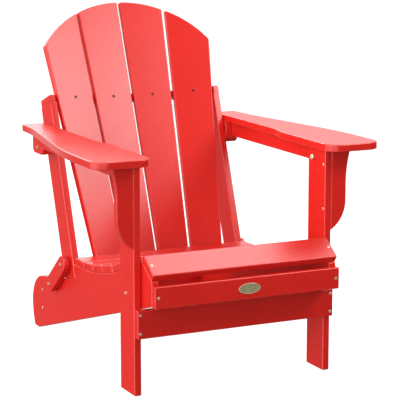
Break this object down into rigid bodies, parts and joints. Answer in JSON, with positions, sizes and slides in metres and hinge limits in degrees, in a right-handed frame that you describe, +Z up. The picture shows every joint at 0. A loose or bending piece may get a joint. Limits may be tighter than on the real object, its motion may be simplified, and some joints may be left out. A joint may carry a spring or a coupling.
{
  "type": "folding adirondack chair",
  "caption": "Folding garden chair of solid plastic boards with a contoured slatted seat, a fan back in a shallow hollow and wide flat arms on curved brackets.",
  "frame": {"origin": "on the ground, under the middle of the whole chair's box", "axes": "+Z up, -Y the way that the chair faces, +X to the right of someone who looks at its front; left and right in the names are as seen from the front"},
  "size_m": [0.796, 0.8706, 0.9218],
  "materials": {
    "lumber": "fine pebbled red plastic lumber with eased edges",
    "steel": "satin stainless steel",
    "dark_screw": "dark painted steel",
    "nylon": "plain black nylon",
    "badge": "satin enamel with a bright rim"
  },
  "bodies": {
    "seat": {"badge_plate": "badge", "front_apron": "lumber", "front_apron_screws": "steel", "ledge_bolts": "steel", "ledge_nuts": "steel", "rail_left": "lumber", "rail_right": "lumber", "rear_stretcher": "lumber", "seat_screws": "steel", "seat_slat_1": "lumber", "seat_slat_2": "lumber", "seat_slat_3": "lumber", "seat_slat_4": "lumber", "seat_slat_5": "lumber", "seat_slat_6": "lumber", "seat_slat_front": "lumber", "seat_slat_rear": "lumber", "stretcher_screws": "steel"},
    "front_frame": {"bracket_left": "lumber", "bracket_right": "lumber", "bracket_screws": "steel", "leg_apron": "lumber", "leg_apron_screws": "steel", "leg_bolts": "steel", "leg_left": "lumber", "leg_nuts": "steel", "leg_right": "lumber", "leg_washers": "nylon"},
    "arm_left": {"arm_board_left": "lumber", "arm_bolts_left": "steel", "arm_nut_left": "steel", "arm_screws_left": "steel", "arm_spacer_left": "lumber", "arm_support_left": "lumber"},
    "arm_right": {"arm_board_right": "lumber", "arm_bolts_right": "steel", "arm_nut_right": "steel", "arm_screws_right": "steel", "arm_spacer_right": "lumber", "arm_support_right": "lumber"},
    "link_left": {"link_left": "lumber", "link_washers_left": "nylon"},
    "link_right": {"link_right": "lumber", "link_washers_right": "nylon"},
    "back": {"back_arm_nuts": "steel", "back_board_screws": "steel", "back_link_bolts": "steel", "back_link_nuts": "steel", "back_low_board": "lumber", "back_slat_inner_left": "lumber", "back_slat_inner_right": "lumber", "back_slat_outer_left": "lumber", "back_slat_outer_right": "lumber", "back_slat_screws": "dark_screw", "back_top_board": "lumber", "upright_left": "lumber", "upright_right": "lumber"}
  },
  "joints": [
    {"name": "link_left_swing", "type": "hinge", "parent": "seat", "child": "link_left", "pos_m": [-0.268, 0.24115, 0.1614], "axis": [1, 0, 0], "range_deg": [-68.5, 0]},
    {"name": "link_right_swing", "type": "hinge", "parent": "seat", "child": "link_right", "pos_m": [0.268, 0.24115, 0.1614], "axis": [1, 0, 0], "range_deg": [-68.5, 0]},
    {"name": "back_fold", "type": "hinge", "parent": "link_left", "child": "back", "pos_m": [-0.2575, 0.14784, 0.2356], "axis": [1, 0, 0], "range_deg": [0, 166.45]},
    {"name": "leg_fold", "type": "hinge", "parent": "seat", "child": "front_frame", "pos_m": [0, -0.30505, 0.2556], "axis": [1, 0, 0], "range_deg": [0, 73.3]},
    {"name": "arm_left_swing", "type": "hinge", "parent": "front_frame", "child": "arm_left", "pos_m": [-0.278, -0.28925, 0.5581], "axis": [1, 0, 0], "range_deg": [-73.4, 0]},
    {"name": "arm_right_swing", "type": "hinge", "parent": "front_frame", "child": "arm_right", "pos_m": [0.278, -0.28925, 0.5581], "axis": [1, 0, 0], "range_deg": [-73.4, 0]}
  ],
  "couplings": [
    {"joint": "link_left_swing", "follows": "back_fold", "ratio": -0.41124},
    {"joint": "link_right_swing", "follows": "back_fold", "ratio": -0.41124},
    {"joint": "leg_fold", "follows": "back_fold", "ratio": 0.44007},
    {"joint": "arm_left_swing", "follows": "back_fold", "ratio": -0.44051},
    {"joint": "arm_right_swing", "follows": "back_fold", "ratio": -0.44051}
  ]
}
